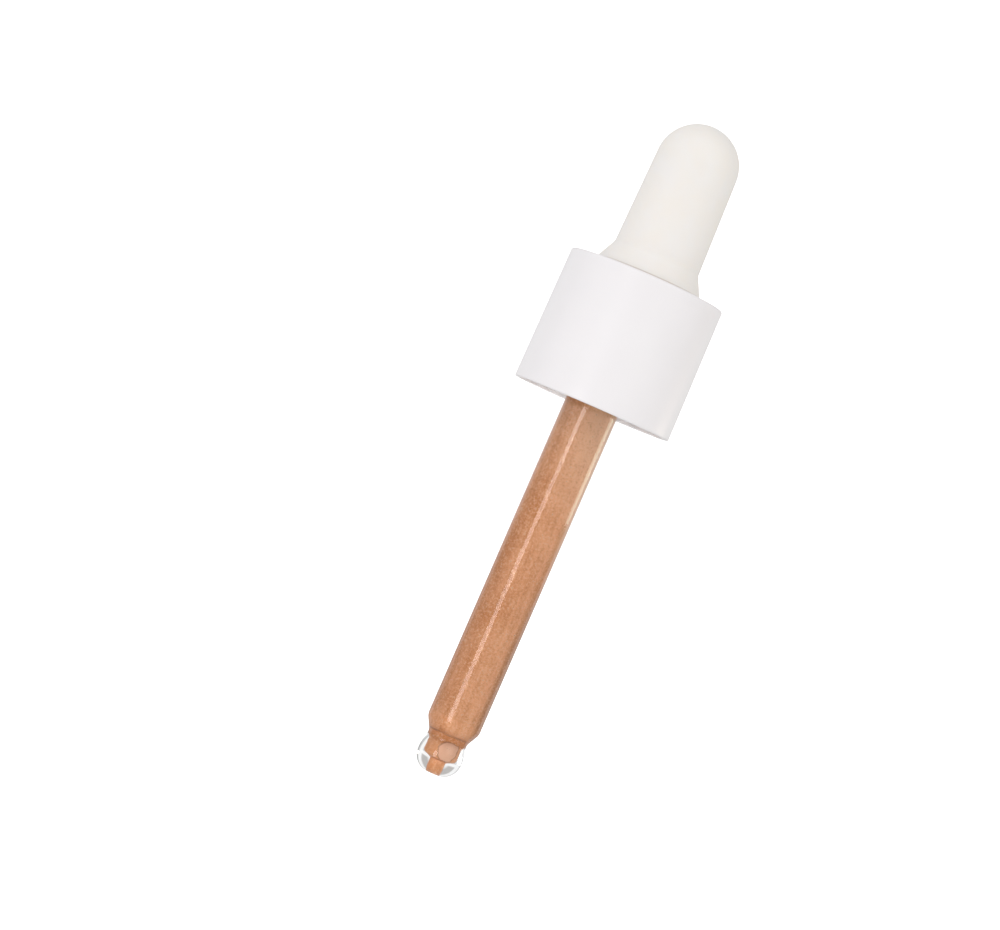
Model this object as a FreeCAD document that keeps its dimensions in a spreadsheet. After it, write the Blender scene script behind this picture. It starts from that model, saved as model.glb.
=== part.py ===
import FreeCAD, Part

import math
import os
from types import SimpleNamespace

import Sketcher

# Medicine dropper: a screw cap in a smooth sleeve, a rubber bulb on top, and a glass pipette
# full of liquid below. +Z runs up the dropper's axis to the bulb. The origin is on that axis in
# the plane of the screw cap's mouth. Lengths are in millimetres.

DIMENSIONS = [
    # sleeve around the screw cap
    ("sleeve_base", -0.5, "height of the sleeve's lower rim"),
    ("sleeve_top", 17.1, "height of the sleeve's upper face"),
    ("sleeve_low_radius", 10.5, "outer radius at the lower rim"),
    ("sleeve_high_radius", 10.3, "outer radius at the upper face"),
    ("sleeve_wall", 0.75, "wall at the lower rim"),
    ("sleeve_roof", 0.85, "thickness of the upper face"),
    ("sleeve_hole", 7.4, "radius of the hole around the bulb"),
    ("sleeve_top_round", 0.3, "rounding of the upper edge"),
    ("sleeve_rim_round", 0.2, "rounding of the lower rim"),
    # screw cap inside the sleeve
    ("cap_height", 16.2, "height of the cap"),
    ("cap_radius", 9.45, "outer radius between the ribs"),
    ("cap_root", 8.9, "radius of the bore at the thread's root"),
    ("cap_roof", 1.2, "thickness of the roof"),
    ("cap_hole", 6.35, "radius of the hole that holds the bulb"),
    ("cap_lead", 0.3, "chamfer at the mouth"),
    ("rib_reach", 9.71, "radius over the ribs"),
    ("rib_width", 0.9, "width of a rib"),
    ("rib_bite", 0.15, "depth to which a rib starts inside the wall"),
    ("rib_height", 15.4, "height of the ribs"),
    ("rib_count", 24, "number of ribs"),
    ("thread_crest", 8.05, "radius over the thread's crest"),
    ("thread_pitch", 3.175, "pitch of an 18-415 neck thread"),
    ("thread_turns", 2.0, "turns of thread"),
    ("thread_start", 2.2, "height of the thread's start"),
    ("thread_foot", 1.5, "width of the thread at its root"),
    ("thread_land", 0.6, "width of the thread at its crest"),
    ("thread_bite", 0.12, "depth to which the thread starts inside the wall"),
    # sealing ring under the bulb's flange
    ("ring_bottom", 12.72, "height of the sealing face"),
    ("ring_top", 13.7, "height of the ring's upper face"),
    ("ring_inner", 4.4, "radius of the ring's hole"),
    ("ring_outer", 8.86, "outer radius of the ring, close to the thread root"),
    # rubber bulb
    ("flange_bottom", 13.72, "underside of the bulb's flange"),
    ("flange_top", 14.95, "upper side of the bulb's flange"),
    ("flange_radius", 7.8, "radius of the bulb's flange"),
    ("groove_radius", 6.3, "radius of the groove that sits in the cap's roof"),
    ("skirt_bottom", 16.25, "underside of the skirt"),
    ("skirt_top", 17.05, "height where the flare starts"),
    ("skirt_radius", 7.2, "radius of the skirt"),
    ("flare_top", 20.05, "height where the flare meets the bulb"),
    ("flare_radius", 5.7, "radius where the flare meets the bulb"),
    ("flare_blend", 1.6, "rounding between the flare and the bulb"),
    ("dome_base", 32.65, "height where the dome starts"),
    ("dome_radius", 5.35, "radius of the dome"),
    ("dome_wall", 1.2, "wall of the dome"),
    ("cavity_base", 17.35, "height of the lip over the glass flange"),
    ("cavity_low_radius", 4.3, "radius of the cavity at the lip"),
    ("pocket_bottom", 16.1, "floor of the pocket that holds the glass flange"),
    ("pocket_radius", 4.66, "radius of that pocket"),
    ("stem_bore", 3.32, "radius of the bore around the pipette's neck"),
    # glass pipette
    ("glass_radius", 3.5, "outer radius of the tube"),
    ("glass_bore", 2.5, "radius of the tube's bore"),
    ("glass_flange_radius", 4.6, "radius of the flange at the top"),
    ("glass_flange_bottom", 16.14, "underside of that flange"),
    ("glass_flange_top", 17.3, "top of the pipette"),
    ("glass_flange_round", 0.4, "rounding of the flange"),
    ("glass_neck_radius", 3.3, "radius of the gripped neck under the flange"),
    ("glass_neck_bottom", 13.65, "height where the gripped neck starts"),
    ("tube_top", 13.5, "height where the plain tube ends"),
    ("tube_bottom", -43.4, "height where the plain tube ends above the tip"),
    ("shoulder_radius", 3.3, "outer radius at the foot of the rounded shoulder"),
    ("shoulder_bottom", -44.2, "height there"),
    ("shoulder_bend", 1.7, "radius of the shoulder's bend"),
    ("waist_high_radius", 2.74, "outer radius at the top of the waist's bend"),
    ("waist_high", -45.25, "height there"),
    ("waist_low_radius", 2.68, "outer radius at the foot of the waist's bend"),
    ("waist_low", -46.35, "height there"),
    ("waist_bend", 1.44, "radius of the waist's bend"),
    ("ball_radius", 2.96, "largest outer radius of the ball tip"),
    ("ball_level", -48.2, "height of that radius"),
    ("ball_side", 6.2, "bend of the ball above its widest level"),
    ("ball_nose", 2.331, "bend of the ball below its widest level"),
    ("tip_radius", 1.4, "radius of the flat end"),
    ("tip_end", -50.4, "height of the flat end"),
    ("bore_bottom", -44.25, "height where the plain bore starts to narrow"),
    ("cup_radius", 2.0, "bore radius at the foot of its rounded bottom"),
    ("cup_bottom", -44.95, "height there"),
    ("cup_bend", 0.75, "bend of the bore's rounded bottom"),
    ("throat_radius", 1.8, "radius at the foot of the throat in the waist"),
    ("throat_bottom", -46.0, "height there"),
    ("throat_bend", 1.5, "bend between the throat and the chamber"),
    ("chamber_radius", 1.5, "radius of the chamber in the ball"),
    ("chamber_top", -46.9, "height where the chamber starts"),
    ("chamber_bottom", -47.95, "height where the chamber's floor starts to round"),
    ("chamber_round", 0.42, "rounding of the chamber's floor"),
    ("chamber_floor_radius", 1.15, "radius where that rounding ends"),
    ("chamber_floor", -48.35, "height there"),
    ("orifice_radius", 0.7, "radius of the orifice"),
    ("orifice_top", -48.55, "height where the orifice starts"),
    # liquid
    ("liquid_gap", 0.02, "gap between the liquid and the glass"),
    ("liquid_level", 8.0, "height of the liquid's rim at rest"),
    ("meniscus_bend", 3.1, "bend of the hollow top of the liquid"),
    ("column_base", -43.0, "height where the moving column of liquid ends"),
]

SHEET = "dims"
SAME = 1e-6


class Size:
    """A length with its value and the sheet expression that drives it."""

    def __init__(self, value, text):
        self.value = value
        self.text = text

    def __add__(self, other):
        return Size(self.value + other.value, f"({self.text} + {other.text})")

    def __sub__(self, other):
        return Size(self.value - other.value, f"({self.text} - {other.text})")

    def __mul__(self, factor):
        return Size(self.value * factor, f"({self.text} * {factor})")


class Arc:
    """An arc to the next corner. A clockwise one turns right on the way there."""

    def __init__(self, radius, clockwise=False):
        self.radius = radius
        self.clockwise = clockwise

    def edge(self, start, end):
        chord = end.sub(start)
        half = chord.Length / 2
        rise = math.sqrt(max(self.radius.value**2 - half**2, 0.0))
        left = FreeCAD.Vector(-chord.y, chord.x, 0).normalize()
        middle = start.add(end).multiply(0.5)
        centre = middle.add(left.multiply(-rise if self.clockwise else rise))
        circle = Part.Circle(centre, FreeCAD.Vector(0, 0, 1), self.radius.value)
        first, last = (end, start) if self.clockwise else (start, end)
        return Part.ArcOfCircle(circle, circle.parameter(first), circle.parameter(last))


def make_sheet(doc):
    """Write the driving dimensions and return them as sizes, one attribute each."""
    sheet = doc.addObject("Spreadsheet::Sheet", SHEET)
    sizes = SimpleNamespace()
    for row, (alias, value, meaning) in enumerate(DIMENSIONS, start=1):
        sheet.set(f"A{row}", alias.replace("_", " "))
        sheet.set(f"B{row}", str(value))
        sheet.set(f"C{row}", meaning)
        sheet.setAlias(f"B{row}", alias)
        setattr(sizes, alias, Size(value, f"{SHEET}.{alias}"))
    doc.recompute()
    return sizes


def make_body(doc, label):
    body = doc.addObject("PartDesign::Body", label)
    body.Label = label
    body.Placement = FreeCAD.Placement()
    return body


def origin_part(body, role):
    """The body's own origin plane or axis with this role."""
    return next(part for part in body.Origin.OriginFeatures if part.Role == role)


def new_sketch(body, name, plane):
    sketch = body.newObject("Sketcher::SketchObject", name)
    sketch.AttachmentSupport = [(origin_part(body, plane), "")]
    sketch.MapMode = "FlatFace"
    return sketch


def bind(sketch, kind, *place, size):
    """Add a dimension to the sketch and drive it from the sheet."""
    index = sketch.addConstraint(Sketcher.Constraint(kind, *place, size.value))
    sketch.setExpression(f"Constraints[{index}]", size.text)


def outline(body, name, corners, plane="XZ_Plane"):
    """Draw a closed outline. Each corner is (across, up) or (across, up, Arc to the next)."""
    sketch = new_sketch(body, name, plane)
    points = [FreeCAD.Vector(corner[0].value, corner[1].value, 0) for corner in corners]
    starts, ends = [], []
    for index, corner in enumerate(corners):
        start, end = points[index], points[(index + 1) % len(points)]
        curve = corner[2] if len(corner) > 2 else None
        edge = curve.edge(start, end) if curve else Part.LineSegment(start, end)
        number = sketch.addGeometry(edge, False)
        backwards = bool(curve and curve.clockwise)
        starts.append((number, 2 if backwards else 1))
        ends.append((number, 1 if backwards else 2))
    for index in range(len(corners)):
        following = starts[(index + 1) % len(corners)]
        sketch.addConstraint(Sketcher.Constraint("Coincident", *ends[index], *following))
    for corner, point in zip(corners, starts):
        if abs(corner[0].value) < SAME:
            sketch.addConstraint(Sketcher.Constraint("PointOnObject", *point, -2))
        else:
            bind(sketch, "DistanceX", -1, 1, *point, size=corner[0])
        bind(sketch, "DistanceY", -1, 1, *point, size=corner[1])
        if len(corner) > 2:
            bind(sketch, "Radius", point[0], size=corner[2].radius)
    return sketch


def revolve(body, name, corners):
    """Turn an outline of (radius, height) corners into a solid of revolution about Z."""
    sketch = outline(body, f"{name}_outline", corners)
    turned = body.newObject("PartDesign::Revolution", name)
    turned.Profile = sketch
    turned.ReferenceAxis = (sketch, ["V_Axis"])
    turned.Angle = 360
    body.Document.recompute()
    return turned


def round_edges(body, name, base, size, places):
    """Round the circular edges of base that lie at these (radius, height) places."""
    names = []
    for number, edge in enumerate(base.Shape.Edges, start=1):
        if edge.Degenerated or not isinstance(edge.Curve, Part.Circle):
            continue
        for radius, height in places:
            if (
                abs(edge.Curve.Radius - radius.value) < SAME
                and abs(edge.Curve.Center.z - height.value) < SAME
            ):
                names.append(f"Edge{number}")
    if len(names) != len(places):
        raise ValueError(f"{name}: found edges {names} for {len(places)} places")
    fillet = body.newObject("PartDesign::Fillet", name)
    fillet.Base = (base, names)
    fillet.setExpression("Radius", size.text)
    body.Document.recompute()
    return fillet


def make_outer_shell(doc, d):
    """The smooth tapering sleeve that covers the screw cap."""
    body = make_body(doc, "outer_shell")
    inner = d.sleeve_low_radius - d.sleeve_wall
    ceiling = d.sleeve_top - d.sleeve_roof
    solid = revolve(body, "sleeve", [
        (inner, d.sleeve_base),
        (d.sleeve_low_radius, d.sleeve_base),
        (d.sleeve_high_radius, d.sleeve_top),
        (d.sleeve_hole, d.sleeve_top),
        (d.sleeve_hole, ceiling),
        (inner, ceiling),
    ])
    top_edge = [(d.sleeve_high_radius, d.sleeve_top)]
    rim_edges = [(d.sleeve_low_radius, d.sleeve_base), (inner, d.sleeve_base)]
    rounded = round_edges(body, "top_rounding", solid, d.sleeve_top_round, top_edge)
    round_edges(body, "rim_rounding", rounded, d.sleeve_rim_round, rim_edges)
    return body


def make_threaded_cap(doc, d):
    """The screw cap: a ribbed cup with a thread inside and a hole for the bulb in its roof."""
    body = make_body(doc, "threaded_cap")
    floor = Size(0.0, "0")
    ceiling = d.cap_height - d.cap_roof
    revolve(body, "cup", [
        (d.cap_root + d.cap_lead, floor),
        (d.cap_radius, floor),
        (d.cap_radius, d.cap_height),
        (d.cap_hole, d.cap_height),
        (d.cap_hole, ceiling),
        (d.cap_root, ceiling),
        (d.cap_root, d.cap_lead),
    ])

    half = d.rib_width * 0.5
    minus_half = d.rib_width * -0.5
    rib_start = d.cap_radius - d.rib_bite
    rib = body.newObject("PartDesign::Pad", "rib")
    rib.Profile = outline(body, "rib_outline", [
        (rib_start, minus_half),
        (d.rib_reach, minus_half),
        (d.rib_reach, half),
        (rib_start, half),
    ], plane="XY_Plane")
    rib.setExpression("Length", d.rib_height.text)
    doc.recompute()
    ribs = body.newObject("PartDesign::PolarPattern", "ribs")
    ribs.Originals = [rib]
    ribs.Axis = (origin_part(body, "Z_Axis"), [""])
    ribs.Angle = 360
    ribs.setExpression("Occurrences", d.rib_count.text)
    body.Tip = ribs
    doc.recompute()

    thread_side = (d.thread_foot - d.thread_land) * 0.5
    root = d.cap_root + d.thread_bite
    thread = body.newObject("PartDesign::AdditiveHelix", "thread")
    thread.Profile = outline(body, "thread_outline", [
        (root, d.thread_start),
        (root, d.thread_start + d.thread_foot),
        (d.thread_crest, d.thread_start + d.thread_foot - thread_side),
        (d.thread_crest, d.thread_start + thread_side),
    ])
    thread.ReferenceAxis = (origin_part(body, "Z_Axis"), [""])
    thread.Mode = "pitch-turns-angle"
    thread.setExpression("Pitch", d.thread_pitch.text)
    thread.setExpression("Turns", d.thread_turns.text)
    body.Tip = thread
    doc.recompute()
    return body


def make_sealing_gasket(doc, d):
    """The flat ring that the bottle's rim presses on."""
    body = make_body(doc, "sealing_gasket")
    revolve(body, "ring", [
        (d.ring_inner, d.ring_bottom),
        (d.ring_outer, d.ring_bottom),
        (d.ring_outer, d.ring_top),
        (d.ring_inner, d.ring_top),
    ])
    return body


def make_rubber_bulb(doc, d):
    """The hollow bulb, its flare, and the flange and groove that hold it in the cap."""
    body = make_body(doc, "rubber_bulb")
    axis = Size(0.0, "0")
    cavity_high = d.dome_radius - d.dome_wall
    solid = revolve(body, "hollow_bulb", [
        (d.stem_bore, d.flange_bottom),
        (d.flange_radius, d.flange_bottom),
        (d.flange_radius, d.flange_top),
        (d.groove_radius, d.flange_top),
        (d.groove_radius, d.skirt_bottom),
        (d.skirt_radius, d.skirt_bottom),
        (d.skirt_radius, d.skirt_top),
        (d.flare_radius, d.flare_top),
        (d.dome_radius, d.dome_base, Arc(d.dome_radius)),
        (axis, d.dome_base + d.dome_radius),
        (axis, d.dome_base + cavity_high, Arc(cavity_high, clockwise=True)),
        (cavity_high, d.dome_base),
        (d.cavity_low_radius, d.cavity_base),
        (d.pocket_radius, d.cavity_base),
        (d.pocket_radius, d.pocket_bottom),
        (d.stem_bore, d.pocket_bottom),
    ])
    corner = [(d.flare_radius, d.flare_top)]
    round_edges(body, "flare_rounding", solid, d.flare_blend, corner)
    return body


def bore_corners(d, gap, top):
    """The bore from the orifice up to a given height, with every wall moved in by gap."""
    return [
        (d.orifice_radius - gap, d.tip_end + gap),
        (d.orifice_radius - gap, d.orifice_top),
        (d.chamber_floor_radius - gap, d.chamber_floor, Arc(d.chamber_round)),
        (d.chamber_radius - gap, d.chamber_bottom),
        (d.chamber_radius - gap, d.chamber_top, Arc(d.throat_bend, clockwise=True)),
        (d.throat_radius - gap, d.throat_bottom),
        (d.cup_radius - gap, d.cup_bottom, Arc(d.cup_bend)),
        (d.glass_bore - gap, d.bore_bottom),
        (d.glass_bore - gap, top),
    ]


def make_glass_pipette(doc, d):
    """The glass tube with a flange at the top and a rounded ball tip."""
    body = make_body(doc, "glass_pipette")
    outside = [
        (d.glass_flange_radius, d.glass_flange_top),
        (d.glass_flange_radius, d.glass_flange_bottom),
        (d.glass_neck_radius, d.glass_flange_bottom),
        (d.glass_neck_radius, d.glass_neck_bottom),
        (d.glass_radius, d.tube_top),
        (d.glass_radius, d.tube_bottom, Arc(d.shoulder_bend, clockwise=True)),
        (d.shoulder_radius, d.shoulder_bottom),
        (d.waist_high_radius, d.waist_high, Arc(d.waist_bend)),
        (d.waist_low_radius, d.waist_low, Arc(d.ball_side, clockwise=True)),
        (d.ball_radius, d.ball_level, Arc(d.ball_nose, clockwise=True)),
        (d.tip_radius, d.tip_end),
    ]
    no_gap = Size(0.0, "0")
    inside = bore_corners(d, no_gap, d.glass_flange_top)
    solid = revolve(body, "tube", inside + outside)
    flange_edges = [
        (d.glass_flange_radius, d.glass_flange_top),
        (d.glass_flange_radius, d.glass_flange_bottom),
    ]
    round_edges(body, "flange_rounding", solid, d.glass_flange_round, flange_edges)
    return body


def make_liquid_tip(doc, d):
    """The liquid that fills the narrowing bore, the chamber and the orifice."""
    body = make_body(doc, "liquid_tip")
    axis = Size(0.0, "0")
    top = d.column_base - d.liquid_gap
    inside = bore_corners(d, d.liquid_gap, top)
    revolve(body, "tip_filling", inside + [(axis, top), (axis, d.tip_end + d.liquid_gap)])
    return body


def make_liquid_column(doc, d):
    """The column of liquid in the straight bore, with a hollow meniscus on top."""
    body = make_body(doc, "liquid_column")
    axis = Size(0.0, "0")
    radius = d.glass_bore - d.liquid_gap
    dip_value = d.meniscus_bend.value - math.sqrt(d.meniscus_bend.value**2 - radius.value**2)
    dip_text = f"({d.meniscus_bend.text} - sqrt({d.meniscus_bend.text} ^ 2 - {radius.text} ^ 2))"
    dip = Size(dip_value, dip_text)
    revolve(body, "column", [
        (axis, d.column_base),
        (radius, d.column_base),
        (radius, d.liquid_level, Arc(d.meniscus_bend, clockwise=True)),
        (axis, d.liquid_level - dip),
    ])
    return body


def check_document(doc, bodies):
    """Stop on any failed object and on any body that isn't one valid solid."""
    for item in doc.Objects:
        if {"Invalid", "Error"} & set(item.State):
            raise RuntimeError(f"{item.Label} failed: {item.State}")
    for body in bodies:
        shape = body.Shape
        if shape.isNull() or not shape.isValid() or len(shape.Solids) != 1:
            raise RuntimeError(f"{body.Label} is not one valid solid")
        box = shape.BoundBox
        print(
            f"{body.Label}: {shape.Volume:.2f} mm3, "
            f"radius {box.XMax:.2f}, z {box.ZMin:.2f} to {box.ZMax:.2f}"
        )


def main():
    doc = FreeCAD.newDocument("medicine_dropper")
    d = make_sheet(doc)
    makers = [
        make_outer_shell,
        make_threaded_cap,
        make_sealing_gasket,
        make_rubber_bulb,
        make_glass_pipette,
        make_liquid_column,
        make_liquid_tip,
    ]
    bodies = [maker(doc, d) for maker in makers]
    doc.recompute()
    check_document(doc, bodies)
    os.makedirs("parts", exist_ok=True)
    for body in bodies:
        body.Shape.exportStep(f"parts/{body.Label}.step")


main()
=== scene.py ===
import math

import bmesh
import bpy
from bpy.props import FloatProperty, FloatVectorProperty, IntProperty, PointerProperty
from bpy.types import Operator, Panel, PropertyGroup
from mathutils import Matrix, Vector


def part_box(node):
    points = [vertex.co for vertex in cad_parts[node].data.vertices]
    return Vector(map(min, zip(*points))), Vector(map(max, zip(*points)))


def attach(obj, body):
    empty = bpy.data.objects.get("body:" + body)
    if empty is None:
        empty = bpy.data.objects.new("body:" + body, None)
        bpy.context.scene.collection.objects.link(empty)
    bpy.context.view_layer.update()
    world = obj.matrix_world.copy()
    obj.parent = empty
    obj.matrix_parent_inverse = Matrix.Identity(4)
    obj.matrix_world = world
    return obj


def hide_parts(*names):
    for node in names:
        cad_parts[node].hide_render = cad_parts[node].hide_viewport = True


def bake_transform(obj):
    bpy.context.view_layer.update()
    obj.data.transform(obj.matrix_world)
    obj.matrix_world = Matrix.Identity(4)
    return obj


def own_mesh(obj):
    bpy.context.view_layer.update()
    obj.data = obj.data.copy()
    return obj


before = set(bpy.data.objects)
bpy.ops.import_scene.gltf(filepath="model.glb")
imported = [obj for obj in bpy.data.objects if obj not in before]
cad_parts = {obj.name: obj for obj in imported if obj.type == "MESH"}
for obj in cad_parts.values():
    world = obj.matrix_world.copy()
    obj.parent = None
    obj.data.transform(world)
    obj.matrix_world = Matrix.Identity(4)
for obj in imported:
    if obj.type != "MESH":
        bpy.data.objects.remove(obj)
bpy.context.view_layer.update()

bl_info = {
    "name": "Medicine Dropper Builder",
    "version": (1, 0, 0),
    "blender": (4, 5, 0),
    "location": "View3D > Sidebar > Dropper",
    "description": "Builds the sleeve, bulb, pipette and liquid of a dropper closure",
    "category": "Add Mesh",
}

# Lengths in metres: a radius under TINY is on the axis, points nearer than SAME_PLACE count
# as one place, and points nearer than MERGE_DISTANCE become one.
MM = 0.001
TINY = 1e-7
SAME_PLACE = 1e-6
MERGE_DISTANCE = 2e-6

SENSOR_WIDTH = 36.0
WHITE = (1.0, 1.0, 1.0)

SLEEVE_LOW, SLEEVE_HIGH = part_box("outer_shell")
BULB_LOW, BULB_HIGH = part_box("rubber_bulb")
GLASS_LOW, GLASS_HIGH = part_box("glass_pipette")
COLUMN_LOW, COLUMN_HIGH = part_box("liquid_column")


# ---------------------------------------------------------------- settings


def length(name, default, description):
    """A size in metres that the sidebar shows as a distance."""
    return FloatProperty(
        name=name,
        description=description,
        default=default,
        precision=5,
        subtype="DISTANCE",
        unit="LENGTH",
    )


def colour(name, default, description):
    return FloatVectorProperty(
        name=name,
        description=description,
        default=default,
        size=3,
        min=0.0,
        max=1.0,
        subtype="COLOR",
    )


class SleeveSettings(PropertyGroup):
    base: length("Lower rim", SLEEVE_LOW.z, "Height of the lower rim")
    top: length("Upper face", SLEEVE_HIGH.z, "Height of the upper face")
    low_radius: length("Lower radius", SLEEVE_HIGH.x, "Outer radius at the lower rim")
    high_radius: length("Upper radius", 10.3 * MM, "Outer radius at the upper face")
    wall: length("Wall", 0.75 * MM, "Wall at the lower rim")
    roof: length("Roof", 0.85 * MM, "Thickness of the upper face")
    hole: length("Hole", 7.4 * MM, "Radius of the hole around the bulb")
    top_round: length("Top rounding", 0.30 * MM, "Rounding of the upper edge")
    rim_round: length("Rim rounding", 0.2 * MM, "Rounding of the lower rim")
    tint: colour("Colour", (0.820, 0.803, 0.812), "Colour of the satin plastic")


class BulbSettings(PropertyGroup):
    flange_bottom: length("Flange underside", BULB_LOW.z, "Underside of the flange")
    flange_radius: length("Flange radius", BULB_HIGH.x, "Radius of the flange in the cap")
    dome_radius: length("Dome radius", 5.35 * MM, "Radius of the dome")
    wall: length("Wall", 1.2 * MM, "Wall of the dome")
    skirt_radius: length("Skirt radius", 7.2 * MM, "Radius of the flare's foot")
    skirt_top: length("Flare foot", 17.05 * MM, "Height where the flare starts")
    flare_radius: length("Flare top radius", 5.7 * MM, "Radius where flare and bulb meet")
    flare_top: length("Flare top", 20.05 * MM, "Height where the flare meets the bulb")
    flare_bend: length("Flare bend", 1.6 * MM, "Rounding between the flare and the bulb")
    tint: colour("Colour", (0.812, 0.791, 0.765), "Colour of the rubber")


class PipetteSettings(PropertyGroup):
    radius: length("Tube radius", 3.5 * MM, "Outer radius of the tube")
    bore: length("Bore radius", 2.5 * MM, "Radius of the bore")
    flange_top: length("Top", GLASS_HIGH.z, "Top of the flange")
    refraction: FloatProperty(
        name="Index of refraction",
        description="Index of refraction of the glass",
        default=1.47,
        min=1.0,
        max=2.0,
    )


class LiquidSettings(PropertyGroup):
    level: length("Level", COLUMN_HIGH.z, "Height of the liquid's rim at rest")
    base: length("Foot", COLUMN_LOW.z, "Height where the moving column ends")
    wetting: length("Wetting", 0.006 * MM, "How far the liquid reaches into the glass wall")
    # Deep and pale are the ends of the streaks and of the painted light across the liquid:
    # pale on the lit +X side, deep on the shaded -X side.
    deep: colour("Deep colour", (0.672, 0.246, 0.066), "Colour where the liquid is deepest")
    pale: colour("Pale colour", (0.930, 0.445, 0.215), "Colour where the mica has settled")
    shimmer: colour("Shimmer", (0.950, 0.580, 0.360), "Colour of the mica flakes")
    # Painted light: the cream tint of the painted light and highlight on the upper tube.
    painted_light_cream: colour("Cream", (0.980, 0.600, 0.370), "Colour of the haze near the level")
    amber: colour("Amber", (0.740, 0.262, 0.066), "Colour of the thin liquid in the tip")


class StageSettings(PropertyGroup):
    distance: length("Camera distance", 377 * MM, "Distance of the camera from the axis")
    lens: FloatProperty(
        name="Lens",
        description="Focal length in millimetres on a 36 mm wide sensor",
        default=108.0,
        min=10.0,
        max=500.0,
    )
    roll: FloatProperty(
        name="Roll",
        description="How far the dropper leans to the right in the camera's view",
        default=math.radians(23.55),
        subtype="ANGLE",
        unit="ROTATION",
    )
    across: length("Aim across", -7.67 * MM, "Place along X that the camera looks at")
    height: length("Aim height", -11.6 * MM, "Height that the camera looks at")
    floor_gap: length("Floor gap", 1.5 * MM, "Gap between the tip and the floor")
    segments: IntProperty(
        name="Segments",
        description="Faces around each turned piece",
        default=256,
        min=32,
        max=512,
    )


# ---------------------------------------------------------------- modelling helpers


def deselect_all():
    """Leave edit mode and select nothing, so that the next operator acts on its own piece."""
    if bpy.context.object and bpy.context.object.mode != "OBJECT":
        bpy.ops.object.mode_set(mode="OBJECT")
    bpy.ops.object.select_all(action="DESELECT")


def bend(start, end, radius, steps=10, clockwise=False):
    """Points of an arc from start to end, without start. A clockwise one turns right."""
    across, up = end[0] - start[0], end[1] - start[1]
    chord = math.hypot(across, up)
    rise = math.sqrt(max(radius**2 - (chord / 2) ** 2, 0.0))
    side = -1 if clockwise else 1
    middle = ((start[0] + end[0]) / 2, (start[1] + end[1]) / 2)
    centre = (
        middle[0] - side * rise * up / chord,
        middle[1] + side * rise * across / chord,
    )
    first = math.atan2(start[1] - centre[1], start[0] - centre[0])
    turn = side * 2 * math.asin(min(1.0, chord / 2 / radius))
    angles = [first + turn * step / steps for step in range(1, steps + 1)]
    return [
        (centre[0] + radius * math.cos(angle), centre[1] + radius * math.sin(angle))
        for angle in angles
    ]


def straight(start, end, steps):
    """Evenly spaced points from start to end, without start."""
    return [
        (
            start[0] + (end[0] - start[0]) * step / steps,
            start[1] + (end[1] - start[1]) * step / steps,
        )
        for step in range(1, steps + 1)
    ]


def rounded(before, corner, after, radius, steps=6):
    """Points that round a corner between two straight sides, both ends included."""
    into = (before[0] - corner[0], before[1] - corner[1])
    out = (after[0] - corner[0], after[1] - corner[1])
    into_length, out_length = math.hypot(*into), math.hypot(*out)
    cosine = (into[0] * out[0] + into[1] * out[1]) / (into_length * out_length)
    half = math.acos(max(-1.0, min(1.0, cosine))) / 2
    reach = radius / math.tan(half)
    start = tuple(at + side / into_length * reach for at, side in zip(corner, into))
    end = tuple(at + side / out_length * reach for at, side in zip(corner, out))
    turns_right = into[0] * out[1] - into[1] * out[0] > 0
    return [start] + bend(start, end, radius, steps, clockwise=turns_right)


def select_ring(piece, ring):
    """In edit mode, select only the ring of vertices at this (radius, height)."""
    bpy.ops.mesh.select_all(action="DESELECT")
    mesh = bmesh.from_edit_mesh(piece.data)
    for vertex in mesh.verts:
        radius = math.hypot(vertex.co.x, vertex.co.y)
        beside, above = abs(radius - ring[0]), abs(vertex.co.z - ring[1])
        vertex.select = beside < SAME_PLACE and above < SAME_PLACE
    mesh.select_flush(True)
    bmesh.update_edit_mesh(piece.data)


def draw_rings(start, path):
    """Extrude the selected ring along a path of (radius, height) and close it at radius 0."""
    radius, height = start
    for next_radius, next_height in path:
        bpy.ops.mesh.extrude_edges_move(
            TRANSFORM_OT_translate={"value": (0, 0, next_height - height)}
        )
        scale = next_radius / radius
        bpy.ops.transform.resize(value=(scale, scale, 1), center_override=(0, 0, 0))
        radius, height = next_radius, next_height
        if radius < TINY:
            bpy.ops.mesh.merge(type="CENTER")
            break


def turn(name, start, *paths, smooth=40.0):
    """Model a turned piece: one ring at start, then each path of rings drawn from it.

    Edges sharper than smooth, in degrees, stay sharp.
    """
    deselect_all()
    segments = bpy.context.scene.dropper_stage.segments
    bpy.ops.mesh.primitive_circle_add(
        vertices=segments, radius=start[0], location=(0, 0, start[1]), fill_type="NOTHING"
    )
    piece = bpy.context.object
    piece.name = name
    piece.data.name = name
    bpy.ops.object.transform_apply(location=True, rotation=True, scale=True)
    bpy.ops.object.mode_set(mode="EDIT")
    bpy.ops.mesh.select_mode(type="VERT")
    for path in paths:
        select_ring(piece, start)
        draw_rings(start, path)
    bpy.ops.mesh.select_all(action="SELECT")
    bpy.ops.mesh.remove_doubles(threshold=MERGE_DISTANCE)
    bpy.ops.mesh.normals_make_consistent(inside=False)
    bpy.ops.object.mode_set(mode="OBJECT")
    bpy.ops.object.shade_smooth_by_angle(angle=math.radians(smooth))
    return piece


# ---------------------------------------------------------------- material helpers


def new_material(name):
    """A material with its node tree and its Principled shader."""
    material = bpy.data.materials.new(name)
    material.use_nodes = True
    tree = material.node_tree
    shader = tree.nodes["Principled BSDF"]
    return material, tree, shader


def place(tree, stretch=(1.0, 1.0, 1.0), shift=(0.0, 0.0, 0.0)):
    """Object coordinates, stretched along the axes and then shifted."""
    coordinates = tree.nodes.new("ShaderNodeTexCoord")
    mapping = tree.nodes.new("ShaderNodeMapping")
    mapping.inputs["Scale"].default_value = stretch
    mapping.inputs["Location"].default_value = shift
    tree.links.new(coordinates.outputs["Object"], mapping.inputs["Vector"])
    return mapping.outputs["Vector"]


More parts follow.
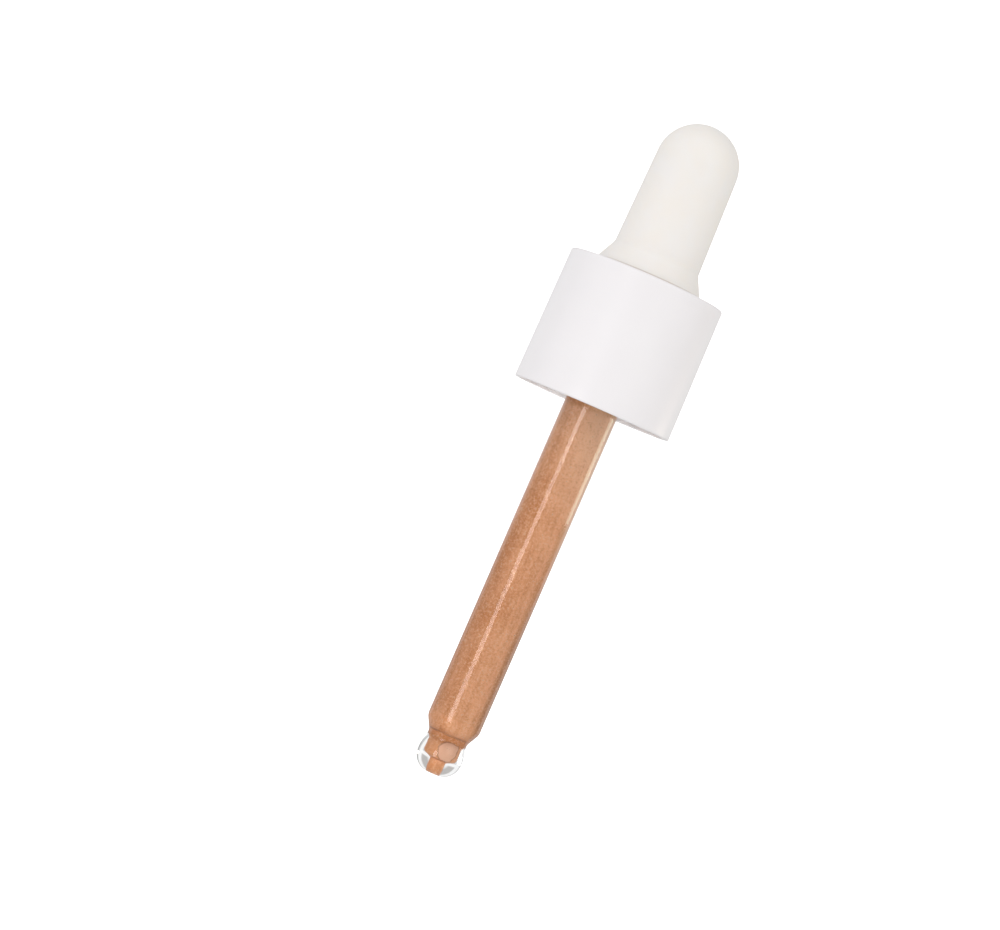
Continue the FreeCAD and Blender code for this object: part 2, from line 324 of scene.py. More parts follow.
def noise(tree, vector, size, detail=3.0, roughness=0.5):
    """Noise whose features are about this size in metres."""
    node = tree.nodes.new("ShaderNodeTexNoise")
    node.inputs["Scale"].default_value = 1.0 / size
    node.inputs["Detail"].default_value = detail
    node.inputs["Roughness"].default_value = roughness
    tree.links.new(vector, node.inputs["Vector"])
    return node.outputs["Fac"]


def spread(tree, value, low, high, from_low=0.3, from_high=0.7):
    """Map a value between from_low and from_high to the range low to high."""
    node = tree.nodes.new("ShaderNodeMapRange")
    node.inputs["From Min"].default_value = from_low
    node.inputs["From Max"].default_value = from_high
    node.inputs["To Min"].default_value = low
    node.inputs["To Max"].default_value = high
    tree.links.new(value, node.inputs["Value"])
    return node.outputs["Result"]


def blend_colours(tree, factor, first, second):
    """Mix two colours, each a socket or a plain colour, by a factor socket."""
    node = tree.nodes.new("ShaderNodeMix")
    node.data_type = "RGBA"
    tree.links.new(factor, node.inputs["Factor"])
    for name, value in (("A", first), ("B", second)):
        socket = next(s for s in node.inputs if s.name == name and s.type == "RGBA")
        if isinstance(value, bpy.types.NodeSocket):
            tree.links.new(value, socket)
        else:
            socket.default_value = (*value, 1.0)
    return next(s for s in node.outputs if s.type == "RGBA")


def combine(tree, operation, *values):
    """A math node on sockets or plain numbers."""
    node = tree.nodes.new("ShaderNodeMath")
    node.operation = operation
    for socket, value in zip(node.inputs, values):
        if isinstance(value, bpy.types.NodeSocket):
            tree.links.new(value, socket)
        else:
            socket.default_value = value
    return node.outputs["Value"]


def add_bump(tree, shader, height, depth, strength=1.0, over=None):
    """Bump of this depth in metres, laid over another bump's normal if one is given."""
    node = tree.nodes.new("ShaderNodeBump")
    node.inputs["Strength"].default_value = strength
    node.inputs["Distance"].default_value = depth
    tree.links.new(height, node.inputs["Height"])
    if over is not None:
        tree.links.new(over, node.inputs["Normal"])
    tree.links.new(node.outputs["Normal"], shader.inputs["Normal"])
    return node.outputs["Normal"]


def shade(tint, factor):
    """A colour made darker, or lighter where factor is above 1."""
    return tuple(min(1.0, channel * factor) for channel in tint)


def split_axes(tree, vector):
    """The X, Y and Z of a vector as three sockets."""
    node = tree.nodes.new("ShaderNodeSeparateXYZ")
    tree.links.new(vector, node.inputs["Vector"])
    return tuple(node.outputs[axis] for axis in "XYZ")


def cell_distance(tree, vector, size):
    """Distance to the middle of the nearest cell, for cells of about this size in metres."""
    node = tree.nodes.new("ShaderNodeTexVoronoi")
    node.inputs["Scale"].default_value = 1.0 / size
    tree.links.new(vector, node.inputs["Vector"])
    return node.outputs["Distance"]


def glow_through(shader, weight, depth, radius=None):
    """Let light spread under the surface to about this depth in metres."""
    shader.inputs["Subsurface Weight"].default_value = weight
    shader.inputs["Subsurface Scale"].default_value = depth
    if radius is not None:
        shader.inputs["Subsurface Radius"].default_value = radius


def finish_with(piece, material):
    """Give a piece or a CAD node this one material."""
    if piece.material_slots:
        for slot in piece.material_slots:
            slot.link = "OBJECT"
            slot.material = material
    else:
        piece.data.materials.append(material)


# ---------------------------------------------------------------- materials


def satin_plastic(tint):
    """Smooth white plastic: fine satin grain and a very faint cloudiness."""
    material, tree, shader = new_material("satin_plastic")
    here = place(tree)
    cloud = noise(tree, here, size=6 * MM, detail=2.0)
    grain = noise(tree, here, size=0.11 * MM, detail=2.0)
    clouded = shade(tint, 0.985)
    body = blend_colours(tree, spread(tree, cloud, 0.0, 1.0), clouded, tint)
    tree.links.new(body, shader.inputs["Base Color"])
    tree.links.new(spread(tree, grain, 0.33, 0.41), shader.inputs["Roughness"])
    glow_through(shader, weight=0.12, depth=0.6 * MM, radius=(1.0, 0.95, 0.9))
    shader.inputs["Coat Weight"].default_value = 0.12
    shader.inputs["Coat Roughness"].default_value = 0.22
    soft = add_bump(tree, shader, cloud, depth=0.02 * MM, strength=0.25)
    add_bump(tree, shader, grain, depth=0.002 * MM, strength=0.35, over=soft)
    return material


def matte_rubber(tint, foot):
    """Off-white rubber: dull, with fine pores, faint mottling and a painted shade line at its
    foot.

    The line is full at the height foot and fades out above it.
    """
    # Painted shade: a thin dark line on the bulb just above the sleeve, where the two parts
    # meet.
    contact_shade_colour, contact_shade_height = (0.44, 0.35, 0.30), 0.16 * MM
    material, tree, shader = new_material("matte_rubber")
    here = place(tree)
    mottle = noise(tree, here, size=3.2 * MM, detail=3.0)
    pores = noise(tree, here, size=0.16 * MM, detail=3.0, roughness=0.6)
    warm = (tint[0], tint[1] * 0.985, tint[2] * 0.955)
    body = blend_colours(tree, spread(tree, mottle, 0.0, 1.0), warm, tint)
    _, _, height = split_axes(tree, here)
    contact_shade_mask = spread(tree, height, 0.60, 0.0, foot, foot + contact_shade_height)
    body = blend_colours(tree, contact_shade_mask, body, contact_shade_colour)
    tree.links.new(body, shader.inputs["Base Color"])
    tree.links.new(spread(tree, pores, 0.46, 0.60), shader.inputs["Roughness"])
    glow_through(shader, weight=0.25, depth=1.2 * MM, radius=(1.0, 0.85, 0.7))
    shader.inputs["Sheen Weight"].default_value = 0.08
    shader.inputs["Sheen Roughness"].default_value = 0.5
    shader.inputs["Specular IOR Level"].default_value = 0.42
    uneven = add_bump(tree, shader, mottle, depth=0.05 * MM, strength=0.3)
    add_bump(tree, shader, pores, depth=0.006 * MM, strength=0.5, over=uneven)
    return material


def clear_glass(refraction):
    """Drawn glass tube: clear, with faint draw lines, a thin film and a slight ripple."""
    material, tree, shader = new_material("clear_glass")
    lines = noise(tree, place(tree, (1.0, 1.0, 0.03)), size=0.5 * MM, detail=2.0)
    film = noise(tree, place(tree), size=1.4 * MM, detail=4.0)
    ripple = noise(tree, place(tree, (1.0, 1.0, 0.5)), size=0.35 * MM, detail=2.0)
    shader.inputs["Base Color"].default_value = (0.992, 0.997, 0.995, 1.0)
    shader.inputs["Transmission Weight"].default_value = 1.0
    shader.inputs["IOR"].default_value = refraction
    tree.links.new(spread(tree, film, 0.0, 0.03, 0.45, 0.75), shader.inputs["Roughness"])
    soft = add_bump(tree, shader, lines, depth=0.004 * MM, strength=0.25)
    add_bump(tree, shader, ripple, depth=0.005 * MM, strength=0.6, over=soft)
    return material


def thicker_mass(tree, body, mass):
    """A rounded mass of paler liquid with a thin dark outline; mass is (centre, radii)."""
    pale_mass, dark_outline = (0.93, 0.53, 0.35), (0.36, 0.13, 0.06)
    centre, radii = mass
    stretch = tuple(1.0 / radius for radius in radii)
    shift = tuple(-middle / radius for middle, radius in zip(centre, radii))
    distance = tree.nodes.new("ShaderNodeVectorMath")
    distance.operation = "LENGTH"
    tree.links.new(place(tree, stretch, shift), distance.inputs[0])
    wobble = spread(tree, noise(tree, place(tree), size=0.7 * MM, detail=2.0), -0.12, 0.12)
    reach = combine(tree, "ADD", distance.outputs["Value"], wobble)
    inside = spread(tree, reach, 0.85, 0.0, 0.90, 1.0)
    body = blend_colours(tree, inside, body, pale_mass)
    rim = combine(tree, "ABSOLUTE", combine(tree, "SUBTRACT", reach, 0.98))
    return blend_colours(tree, spread(tree, rim, 0.55, 0.0, 0.02, 0.09), body, dark_outline)


def painted_light_top(tree, body, across, height, deep, painted_light_cream):
    """Painted light on the upper tube: a cream tint that thickens upwards and towards +X, a
    painted highlight band along the +X side, and painted shade along that side lower down.
    """
    # Painted light: paler and creamier upwards and towards +X, standing in for light that the
    # collar keeps off the top of the tube.
    painted_light_haze = combine(
        tree,
        "MULTIPLY",
        spread(tree, across, 0.25, 1.0, -1.5 * MM, 1.5 * MM),
        spread(tree, height, 0.0, 0.7, -16 * MM, -4 * MM),
    )
    body = blend_colours(tree, painted_light_haze, body, painted_light_cream)
    # Painted highlight: a bright cream band near the +X edge, standing in for the cream
    # reflection there.
    painted_highlight_band = combine(
        tree,
        "MULTIPLY",
        spread(tree, across, 0.0, 0.6, 2.15 * MM, 2.38 * MM),
        spread(tree, height, 0.0, 1.0, -22 * MM, -12 * MM),
    )
    body = blend_colours(tree, painted_highlight_band, body, shade(painted_light_cream, 1.15))
    # Painted shade: a dark band near the +X edge of the lower tube.
    painted_shade_band = combine(
        tree,
        "MULTIPLY",
        spread(tree, height, 0.6, 0.0, -34 * MM, -20 * MM),
        spread(tree, across, 0.0, 1.0, 2.1 * MM, 2.4 * MM),
    )
    return blend_colours(tree, painted_shade_band, body, shade(deep, 0.6))


def pearl_liquid(name, deep, pale, shimmer, painted_light_cream, fades, lines=(), mass=None):
    """Opaque tan liquid with mica in it: slow streaks, painted light that makes the +X side
    paler and the -X side deeper, and glitter.

    Each fade is (from, to, low, high): the liquid gets paler by low below the first height,
    and by high above the second. Each line is (height, half width) of a thin dark ring.
    """
    dark_line = (0.30, 0.105, 0.04)
    material, tree, shader = new_material(name)
    here = place(tree)
    along = place(tree, (1.0, 1.0, 0.12))
    streaks = noise(tree, along, size=1.3 * MM, detail=5.0, roughness=0.65)
    clouds = noise(tree, here, size=3.0 * MM, detail=3.0)
    grains = noise(tree, here, size=0.28 * MM, detail=3.0, roughness=0.75)
    flakes = cell_distance(tree, here, size=0.19 * MM)
    across, _, height = split_axes(tree, here)

    # Painted light: paler towards +X and deeper towards -X, standing in for light falling
    # through the liquid from one side.
    paler = spread(tree, across, -0.38, 0.30, -2.2 * MM, 1.8 * MM)
    paler = combine(tree, "ADD", paler, spread(tree, streaks, 0.0, 1.0))
    paler = combine(tree, "ADD", paler, spread(tree, clouds, -0.2, 0.2))
    for start, end, low, high in fades:
        paler = combine(tree, "ADD", paler, spread(tree, height, low, high, start, end))
    body = blend_colours(tree, paler, deep, pale)
    # Painted light, highlight and shade on the upper tube.
    body = painted_light_top(tree, body, across, height, deep, painted_light_cream)
    body = blend_colours(tree, spread(tree, grains, 0.0, 0.85, 0.50, 0.70), body, shimmer)
    dull = spread(tree, grains, 0.45, 0.0, 0.30, 0.46)
    body = blend_colours(tree, dull, body, shade(deep, 0.66))
    wander = spread(tree, clouds, -0.08 * MM, 0.08 * MM)
    wavy_height = combine(tree, "ADD", height, wander)
    for level, half_width in lines:
        offset = combine(tree, "ABSOLUTE", combine(tree, "SUBTRACT", wavy_height, level))
        near = spread(tree, offset, 1.0, 0.0, half_width * 0.3, half_width)
        near = combine(tree, "MULTIPLY", near, spread(tree, streaks, 0.15, 0.65))
        body = blend_colours(tree, near, body, dark_line)
    if mass is not None:
        body = thicker_mass(tree, body, mass)
    tree.links.new(body, shader.inputs["Base Color"])
    tree.links.new(spread(tree, grains, 0.08, 0.45, 0.45, 0.7), shader.inputs["Metallic"])
    tree.links.new(spread(tree, grains, 0.44, 0.26, 0.42, 0.70), shader.inputs["Roughness"])
    shader.inputs["IOR"].default_value = 1.40
    soft = add_bump(tree, shader, grains, depth=0.016 * MM, strength=0.5)
    add_bump(tree, shader, flakes, depth=0.016 * MM, strength=0.4, over=soft)
    return material


def natural_plastic():
    """Unpainted white plastic of the screw cap: waxy, with faint flow marks."""
    dull, clean = (0.78, 0.78, 0.765), (0.83, 0.83, 0.82)
    material, tree, shader = new_material("natural_plastic")
    flow = noise(tree, place(tree, (1.0, 1.0, 0.4)), size=2.5 * MM, detail=3.0)
    grain = noise(tree, place(tree), size=0.2 * MM, detail=2.0)
    body = blend_colours(tree, spread(tree, flow, 0.0, 1.0), dull, clean)
    tree.links.new(body, shader.inputs["Base Color"])
    tree.links.new(spread(tree, grain, 0.42, 0.55), shader.inputs["Roughness"])
    glow_through(shader, weight=0.2, depth=0.8 * MM)
    add_bump(tree, shader, grain, depth=0.004 * MM, strength=0.3)
    return material


def foam_liner():
    """Closed-cell foam of the sealing ring: matte, with small cells."""
    cell_middle, cell_edge = (0.80, 0.79, 0.76), (0.88, 0.875, 0.85)
    material, tree, shader = new_material("foam_liner")
    cells = cell_distance(tree, place(tree), size=0.22 * MM)
    tone = spread(tree, cells, 0.0, 1.0, 0.0, 0.6)
    body = blend_colours(tree, tone, cell_middle, cell_edge)
    tree.links.new(body, shader.inputs["Base Color"])
    shader.inputs["Roughness"].default_value = 0.75
    glow_through(shader, weight=0.2, depth=0.5 * MM)
    add_bump(tree, shader, cells, depth=0.02 * MM, strength=0.5)
    return material


# ---------------------------------------------------------------- outlines of the glass


def bore_outline(bore, reach=0.0):
    """The bore from the orifice up to where it is straight, its walls moved out by reach."""
    floor_bend, throat_bend, cup_bend = 0.42 * MM, 1.5 * MM, 0.75 * MM
    orifice = (0.7 * MM + reach, GLASS_LOW.z)
    orifice_top = (orifice[0], -48.55 * MM)
    floor_edge = (1.15 * MM + reach, -48.35 * MM)
    chamber_bottom = (1.5 * MM + reach, -47.95 * MM)
    chamber_top = (chamber_bottom[0], -46.9 * MM)
    throat = (1.8 * MM + reach, -46.0 * MM)
    cup = (2.0 * MM + reach, -44.95 * MM)
    bore_bottom = (bore + reach, -44.25 * MM)
    points = [orifice] + straight(orifice, orifice_top, 4)
    points += straight(orifice_top, floor_edge, 2)
    points += bend(floor_edge, chamber_bottom, floor_bend, steps=8)
    points += straight(chamber_bottom, chamber_top, 3)
    points += bend(chamber_top, throat, throat_bend, steps=8, clockwise=True)
    points += straight(throat, cup, 4)
    points += bend(cup, bore_bottom, cup_bend, steps=10)
    return points


def tip_outline(radius):
    """The outside of the glass from the straight tube down to the flat end."""
    shoulder_bend, waist_bend = 1.7 * MM, 1.44 * MM
    ball_side, ball_nose = 6.2 * MM, 2.331 * MM
    tube_foot = (radius, -43.4 * MM)
    shoulder = (3.3 * MM, -44.2 * MM)
    waist_high = (2.74 * MM, -45.25 * MM)
    waist_low = (2.68 * MM, -46.35 * MM)
    ball = (2.96 * MM, -48.2 * MM)
    flat = (1.4 * MM, GLASS_LOW.z)
    points = [tube_foot]
    points += bend(tube_foot, shoulder, shoulder_bend, steps=10, clockwise=True)
    points += straight(shoulder, waist_high, 4)
    points += bend(waist_high, waist_low, waist_bend, steps=14)
    points += bend(waist_low, ball, ball_side, steps=12, clockwise=True)
    points += bend(ball, flat, ball_nose, steps=24, clockwise=True)
    return points


# ---------------------------------------------------------------- operators


class DROPPER_OT_make_sleeve(Operator):
    """Model the smooth tapering sleeve that covers the screw cap"""

    bl_idname = "dropper.make_sleeve"
    bl_label = "Sleeve"
    bl_options = {"REGISTER", "UNDO"}

    def execute(self, context):
        s = context.scene.dropper_sleeve
        hole_round = s.rim_round * 0.5
        inner = s.low_radius - s.wall
        ceiling = s.top - s.roof
        wall_top = s.top - s.top_round * 1.2
        inner_foot = (inner, s.base)
        outer_foot = (s.low_radius, s.base)
        outer_top = (s.high_radius, s.top)
        hole_top = (s.hole, s.top)
        hole_foot = (s.hole, ceiling)
        inner_top = (inner, ceiling)
        start = (inner, s.base + 4 * s.rim_round)
        path = rounded(start, inner_foot, outer_foot, s.rim_round)
        path += rounded(inner_foot, outer_foot, outer_top, s.rim_round)
        path += straight(path[-1], (s.high_radius, wall_top), 12)
        path += rounded(outer_foot, outer_top, hole_top, s.top_round, steps=10)
        path += rounded(outer_top, hole_top, hole_foot, hole_round, steps=4)
        path += [hole_foot, inner_top, start]
        piece = turn("sleeve", start, path, smooth=50.0)
        finish_with(piece, satin_plastic(tuple(s.tint)))
        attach(piece, "collar")
        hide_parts("outer_shell")
        return {"FINISHED"}


class DROPPER_OT_finish_cap(Operator):
    """Give the screw cap and the sealing ring their plastic and foam"""

    bl_idname = "dropper.finish_cap"
    bl_label = "Screw cap and ring"
    bl_options = {"REGISTER", "UNDO"}

    def execute(self, context):
        finish_with(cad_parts["threaded_cap"], natural_plastic())
        finish_with(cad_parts["sealing_gasket"], foam_liner())
        return {"FINISHED"}


class DROPPER_OT_make_bulb(Operator):
    """Model the hollow rubber bulb with its flare, groove and flange"""

    bl_idname = "dropper.make_bulb"
    bl_label = "Bulb"
    bl_options = {"REGISTER", "UNDO"}

    def execute(self, context):
        s = context.scene.dropper_bulb
        dome_base = BULB_HIGH.z - s.dome_radius
        bore, groove, pocket = 3.32 * MM, 6.3 * MM, 4.66 * MM
        flange_top, skirt_foot = 14.95 * MM, 16.25 * MM
        pocket_foot, lip = 16.1 * MM, 17.35 * MM
        cavity_low, cavity_high = 4.3 * MM, s.dome_radius - s.wall
        # Height of the painted shade line where the bulb meets the sleeve.
        contact_shade_line = s.skirt_top + 0.33 * MM

        start = (bore, s.flange_bottom)
        skirt = (s.skirt_radius, s.skirt_top)
        flare = (s.flare_radius, s.flare_top)
        shoulder = (s.dome_radius, dome_base)
        outside = [
            (s.flange_radius, s.flange_bottom),
            (s.flange_radius, flange_top),
            (groove, flange_top),
            (groove, skirt_foot),
            (s.skirt_radius, skirt_foot),
            skirt,
        ]
        flare_bend = rounded(skirt, flare, shoulder, s.flare_bend, steps=10)
        outside += straight(skirt, flare_bend[0], 8) + flare_bend[1:]
        outside += straight(outside[-1], shoulder, 36)
        outside += bend(shoulder, (0.0, BULB_HIGH.z), s.dome_radius, steps=32)

        inside = [
            (bore, pocket_foot),
            (pocket, pocket_foot),
            (pocket, lip),
            (cavity_low, lip),
        ]
        inside += straight(inside[-1], (cavity_high, dome_base), 36)
        inside += bend(inside[-1], (0.0, dome_base + cavity_high), cavity_high, steps=20)

        piece = turn("bulb", start, outside, inside, smooth=40.0)
        finish_with(piece, matte_rubber(tuple(s.tint), contact_shade_line))
        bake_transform(piece)
        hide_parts("rubber_bulb")
        return {"FINISHED"}


class DROPPER_OT_make_pipette(Operator):
    """Model the glass tube with its flange, waist and ball tip"""

    bl_idname = "dropper.make_pipette"
    bl_label = "Glass pipette"
    bl_options = {"REGISTER", "UNDO"}

    def execute(self, context):
        s = context.scene.dropper_pipette
        neck, flange, flange_round = 3.3 * MM, 4.6 * MM, 0.4 * MM
        tube_top, neck_foot, flange_foot = 13.5 * MM, 13.65 * MM, 16.14 * MM
        bore_top = (s.bore, s.flange_top)
        flange_high = (flange, s.flange_top)
        flange_low = (flange, flange_foot)
        neck_high = (neck, flange_foot)

        bore = bore_outline(s.bore)
        start = bore[0]
        path = bore[1:] + straight(bore[-1], bore_top, 24)
        path += rounded(bore_top, flange_high, flange_low, flange_round)
        path += rounded(flange_high, flange_low, neck_high, flange_round)
        path += [neck_high, (neck, neck_foot), (s.radius, tube_top)]
        tip = tip_outline(s.radius)
        path += straight(path[-1], tip[0], 24) + tip[1:]
        path += [start]
        piece = turn("pipette_glass", start, path, smooth=45.0)
        finish_with(piece, clear_glass(s.refraction))
        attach(piece, "stem")
        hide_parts("glass_pipette")
        return {"FINISHED"}


class DROPPER_OT_make_liquid(Operator):
    """Model the column of liquid and the liquid in the tip"""

    bl_idname = "dropper.make_liquid"
    bl_label = "Liquid"
    bl_options = {"REGISTER", "UNDO"}

    def execute(self, context):
        s = context.scene.dropper_liquid
        bore = context.scene.dropper_pipette.bore
        shared = (tuple(s.pale), tuple(s.shimmer), tuple(s.painted_light_cream))
        self.make_column(s, bore, shared)
        self.make_tip(s, bore, shared)
        return {"FINISHED"}

    def make_column(self, s, bore, shared):
        """The liquid in the straight bore, with a hollow top that falls with the level."""
        fades = (
            (-43.0 * MM, -38.0 * MM, 0.15, 0.0),
            # Painted light: paler towards the top, standing in for light that the collar
            # keeps off.
            (-15.0 * MM, -4.0 * MM, 0.0, 0.50),
            # Painted shadow: a dark band just under the collar's rim.
            (-1.3 * MM, -0.7 * MM, 0.0, -0.9),
        )
        material = pearl_liquid("pearl_liquid", tuple(s.deep), *shared, fades)
        radius = bore + s.wetting
        rim = (radius, s.level)
        top_bend = 3.1 * MM
        dip = top_bend - math.sqrt(top_bend**2 - radius**2)
        surface = bend(rim, (0.0, s.level - dip), top_bend, steps=16, clockwise=True)
        column = turn("liquid_in_tube", rim, surface, [(radius, s.base), (0.0, s.base)])
        finish_with(column, material)
        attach(column, "stem")
        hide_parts("liquid_column")
        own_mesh(column)

    def make_tip(self, s, bore, shared):
        """The liquid that stays in the narrowing bore, the chamber and the orifice."""
        overlap = 0.02 * MM
        wall = bore_outline(bore, s.wetting)
        orifice = wall[0]
        top = (wall[-1][0], s.base + overlap)
        drop = [(0.0, orifice[1])]
        tip = turn("liquid_in_tip", orifice, wall[1:] + [top, (0.0, top[1])], drop)
        fades = (
            (-46.5 * MM, -46.1 * MM, 0.0, -0.9),
            (-45.1 * MM, -44.95 * MM, 0.0, 1.1),
        )
        lines = ((-44.98 * MM, 0.17 * MM), (-48.38 * MM, 0.10 * MM))
        centre = (0.53 * MM, -1.2 * MM, -47.05 * MM)
        mass = (centre, (1.12 * MM, 1.3 * MM, 1.40 * MM))
        material = pearl_liquid("thin_liquid", tuple(s.amber), *shared, fades, lines, mass)
        finish_with(tip, material)
        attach(tip, "stem")
        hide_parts("liquid_tip")


class DROPPER_OT_make_stage(Operator):
    """Set up the pale floor, the backdrop, the lights and the camera"""

    bl_idname = "dropper.make_stage"
    bl_label = "Stage"
    bl_options = {"REGISTER", "UNDO"}

    def execute(self, context):
        s = context.scene.dropper_stage
        context.scene.view_settings.view_transform = "Standard"
        self.make_backdrop(GLASS_LOW.z - s.floor_gap)
        self.make_world(context.scene)
        self.make_lights()
        self.make_camera(context.scene, s)
        return {"FINISHED"}

    def make_backdrop(self, floor):
        """A floor that turns up into a wall behind the dropper, seen only by the camera."""
        size, towards_camera, wall_height = 2.4, 0.7, 1.1
        turn_radius, turn_steps = 0.2, 16
        deselect_all()
        bpy.ops.mesh.primitive_plane_add(size=size, location=(0, -towards_camera, floor))
        backdrop = bpy.context.object
        backdrop.name = "backdrop"
        bpy.ops.object.transform_apply(location=True, rotation=True, scale=True)
        bpy.ops.object.mode_set(mode="EDIT")
        bpy.ops.mesh.select_mode(type="EDGE")
        back = size / 2 - towards_camera
        self.select_fold(backdrop, back, floor)
        bpy.ops.mesh.extrude_edges_move(
            TRANSFORM_OT_translate={"value": (0, 0, wall_height)}
        )
        self.select_fold(backdrop, back, floor)
        bpy.ops.mesh.bevel(offset=turn_radius, segments=turn_steps)
        bpy.ops.object.mode_set(mode="OBJECT")
        bpy.ops.object.shade_smooth()
        finish_with(backdrop, self.pale_paper())
        backdrop.visible_diffuse = False
        backdrop.visible_glossy = False
        backdrop.visible_transmission = False
        backdrop.visible_shadow = False

    def select_fold(self, backdrop, back, floor):
        """In edit mode, select only the edge where the floor meets the wall."""
        mesh = bmesh.from_edit_mesh(backdrop.data)
        for edge in mesh.edges:
            edge.select = all(
                abs(vertex.co.y - back) < SAME_PLACE and abs(vertex.co.z - floor) < SAME_PLACE
                for vertex in edge.verts
            )
        bmesh.update_edit_mesh(backdrop.data)

    def pale_paper(self):
        """Matte white paper that glows enough to look evenly lit."""
        material, tree, shader = new_material("pale_paper")
        grain = noise(tree, place(tree), size=2 * MM, detail=2.0)
        paper = blend_colours(tree, grain, shade(WHITE, 0.80), shade(WHITE, 0.83))
        tree.links.new(paper, shader.inputs["Base Color"])
        shader.inputs["Roughness"].default_value = 0.9
        shader.inputs["Emission Color"].default_value = (*WHITE, 1.0)
        shader.inputs["Emission Strength"].default_value = 0.62
        self.clear_from_below(tree, shader)
        return material

    def clear_from_below(self, tree, shader):
        """Let a camera under the floor look through it."""
        geometry = tree.nodes.new("ShaderNodeNewGeometry")
        clear = tree.nodes.new("ShaderNodeBsdfTransparent")
        mix = tree.nodes.new("ShaderNodeMixShader")
        tree.links.new(geometry.outputs["Backfacing"], mix.inputs[0])
        tree.links.new(shader.outputs["BSDF"], mix.inputs[1])
        tree.links.new(clear.outputs["BSDF"], mix.inputs[2])
        output = tree.nodes["Material Output"]
        tree.links.new(mix.outputs["Shader"], output.inputs["Surface"])

    def make_world(self, scene):
        """A white room with darker rings behind the dropper that draw the glass's edges."""
        left_wall, right_wall, back_wall = (0.99, 0.98, 0.99), (0.93, 0.92, 0.91), (0.97,) * 3
        left_flag, right_flag = (0.68,) * 3, (0.30,) * 3
        edge_ring, ground = (0.50, 0.49, 0.48), (0.76, 0.755, 0.75)
        world = bpy.data.worlds.new("white_room")
        scene.world = world
        world.use_nodes = True
        tree = world.node_tree
        background = tree.nodes["Background"]
        coordinates = tree.nodes.new("ShaderNodeTexCoord")
        across, depth, height = split_axes(tree, coordinates.outputs["Generated"])
        side = spread(tree, across, 0.0, 1.0, -0.8, 0.8)
        front = blend_colours(tree, side, left_wall, right_wall)
        behind = spread(tree, depth, 0.0, 1.0, 0.0, 0.3)
        room = blend_colours(tree, behind, front, back_wall)
        flags = blend_colours(tree, side, left_flag, right_flag)
        ring = combine(
            tree,
            "MULTIPLY",
            spread(tree, depth, 0.0, 1.0, 0.08, 0.22),
            spread(tree, depth, 1.0, 0.0, 0.50, 0.64),
        )
        room = blend_colours(tree, ring, room, flags)
        outline = combine(
            tree,
            "MULTIPLY",
            spread(tree, depth, 0.0, 1.0, 0.76, 0.82),
            spread(tree, depth, 1.0, 0.0, 0.93, 0.965),
        )
        rise = combine(tree, "ABSOLUTE", combine(tree, "SUBTRACT", height, 0.03))
        away_from_level = spread(tree, rise, 0.0, 1.0, 0.03, 0.09)
        outline = combine(tree, "MULTIPLY", outline, away_from_level)
        room = blend_colours(tree, outline, room, edge_ring)
        below = spread(tree, height, 0.0, 1.0, -0.35, -0.90)
        room = blend_colours(tree, below, room, ground)
        tree.links.new(room, background.inputs["Color"])

    def make_lights(self):
        """A strip for the glass, a key, a fill, a warm edge light and two rim spots.

        Each area light is (name, location, size, power, colour). The spots light the inside
        of the sleeve's rim, one on each side.
        """
        centre, warm = (0.0, 0.0, 0.0), (1.0, 0.88, 0.75)
        areas = (
            ("strip", (-0.195, -0.412, -0.047), (0.136, 0.125), 0.21, WHITE),
            ("key", (0.42, -0.50, 0.30), (0.45, 0.45), 0.45, WHITE),
            ("fill", (-0.55, -0.30, 0.25), (0.45, 0.45), 0.2, WHITE),
            ("edge", (0.274, 0.122, -0.001), (0.13, 0.034), 0.055, warm),
        )
        for name, location, size, power, tint in areas:
            light = self.add_light("AREA", name, location, centre, power)
            light.shape = "RECTANGLE"
            light.size, light.size_y = size
            light.color = tint
        for side, power in ((-1, 6.5), (1, 4.0)):
            rim = (side * 6.3 * MM, 7.4 * MM, 0.2 * MM)
            spot = self.add_light("SPOT", "rim", (side * 0.05, -0.19, -0.34), rim, power)
            spot.spot_size = math.radians(1.3)
            spot.spot_blend = 1.0
            spot.shadow_soft_size = 0.005

    def add_light(self, kind, name, location, target, power):
        """Add a light that the camera can't see, pointed at the target, and give its data."""
        deselect_all()
        bpy.ops.object.light_add(type=kind, location=location)
        light = bpy.context.object
        light.name = name
        light.data.name = name
        light.data.energy = power
        light.visible_camera = False
        direction = Vector(target) - light.location
        light.rotation_euler = direction.to_track_quat("-Z", "Y").to_euler()
        return light.data

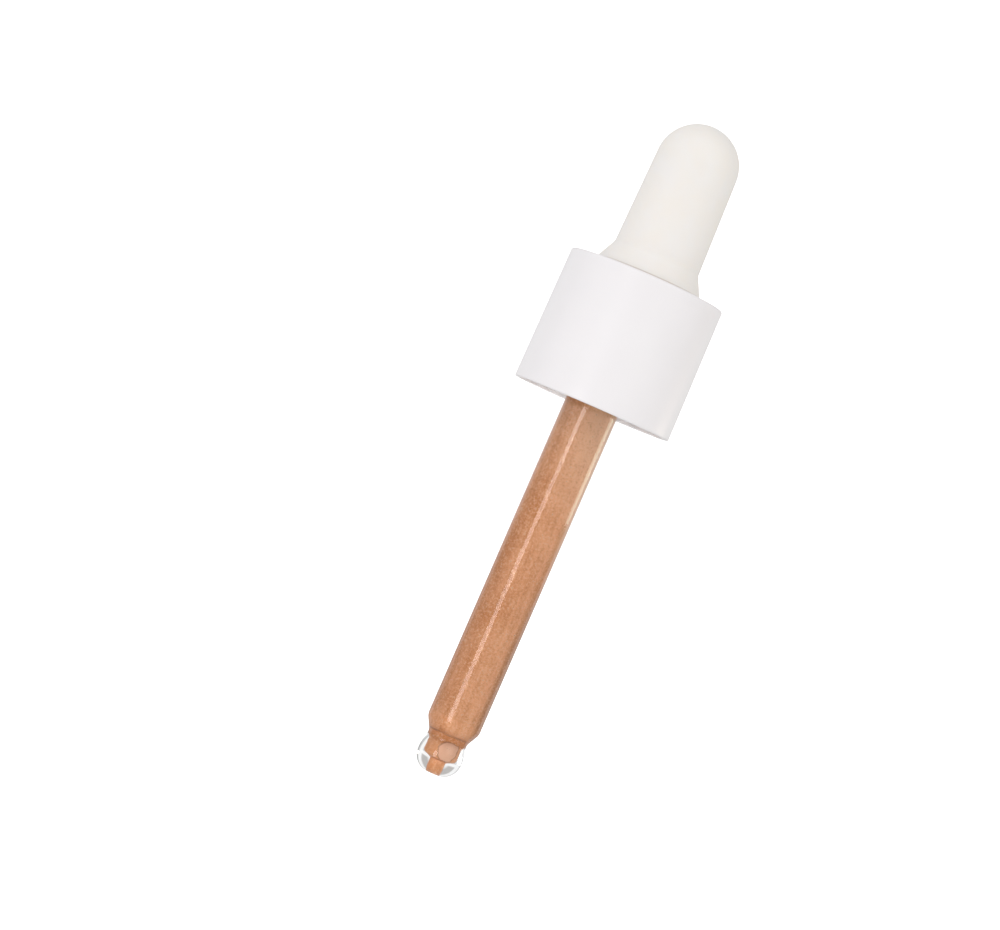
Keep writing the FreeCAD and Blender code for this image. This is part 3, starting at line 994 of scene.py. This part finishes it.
    def make_camera(self, scene, s):
        """A long lens in front of the dropper, rolled so that the dropper leans."""
        deselect_all()
        bpy.ops.object.camera_add(
            location=(s.across, -s.distance, s.height),
            rotation=(math.radians(90), -s.roll, 0),
        )
        camera = bpy.context.object
        camera.name = "camera"
        camera.data.sensor_width = SENSOR_WIDTH
        camera.data.lens = s.lens
        camera.data.clip_start, camera.data.clip_end = 0.01, 20.0
        camera.data.dof.use_dof = False
        scene.camera = camera


class DROPPER_PT_panel(Panel):
    """Sidebar panel with the dropper's sizes and its build steps"""

    bl_label = "Dropper"
    bl_idname = "DROPPER_PT_panel"
    bl_space_type = "VIEW_3D"
    bl_region_type = "UI"
    bl_category = "Dropper"

    def draw(self, context):
        scene = context.scene
        for attribute, operators in STEPS:
            box = self.layout.box()
            settings = getattr(scene, attribute)
            for name in settings.__annotations__:
                box.prop(settings, name)
            for operator in operators:
                box.operator(operator.bl_idname)


STEPS = (
    ("dropper_sleeve", (DROPPER_OT_make_sleeve, DROPPER_OT_finish_cap)),
    ("dropper_bulb", (DROPPER_OT_make_bulb,)),
    ("dropper_pipette", (DROPPER_OT_make_pipette,)),
    ("dropper_liquid", (DROPPER_OT_make_liquid,)),
    ("dropper_stage", (DROPPER_OT_make_stage,)),
)
SETTINGS = {
    "dropper_sleeve": SleeveSettings,
    "dropper_bulb": BulbSettings,
    "dropper_pipette": PipetteSettings,
    "dropper_liquid": LiquidSettings,
    "dropper_stage": StageSettings,
}
OPERATORS = tuple(operator for _, operators in STEPS for operator in operators)


def register():
    for cls in (*SETTINGS.values(), *OPERATORS, DROPPER_PT_panel):
        bpy.utils.register_class(cls)
    for attribute, cls in SETTINGS.items():
        setattr(bpy.types.Scene, attribute, PointerProperty(type=cls))


def unregister():
    for attribute in SETTINGS:
        delattr(bpy.types.Scene, attribute)
    for cls in (DROPPER_PT_panel, *reversed(OPERATORS), *reversed(SETTINGS.values())):
        bpy.utils.unregister_class(cls)


def main():
    register()
    bpy.ops.dropper.make_stage()
    bpy.ops.dropper.make_sleeve()
    bpy.ops.dropper.finish_cap()
    bpy.ops.dropper.make_bulb()
    bpy.ops.dropper.make_pipette()
    bpy.ops.dropper.make_liquid()


if __name__ == "__main__":
    main()
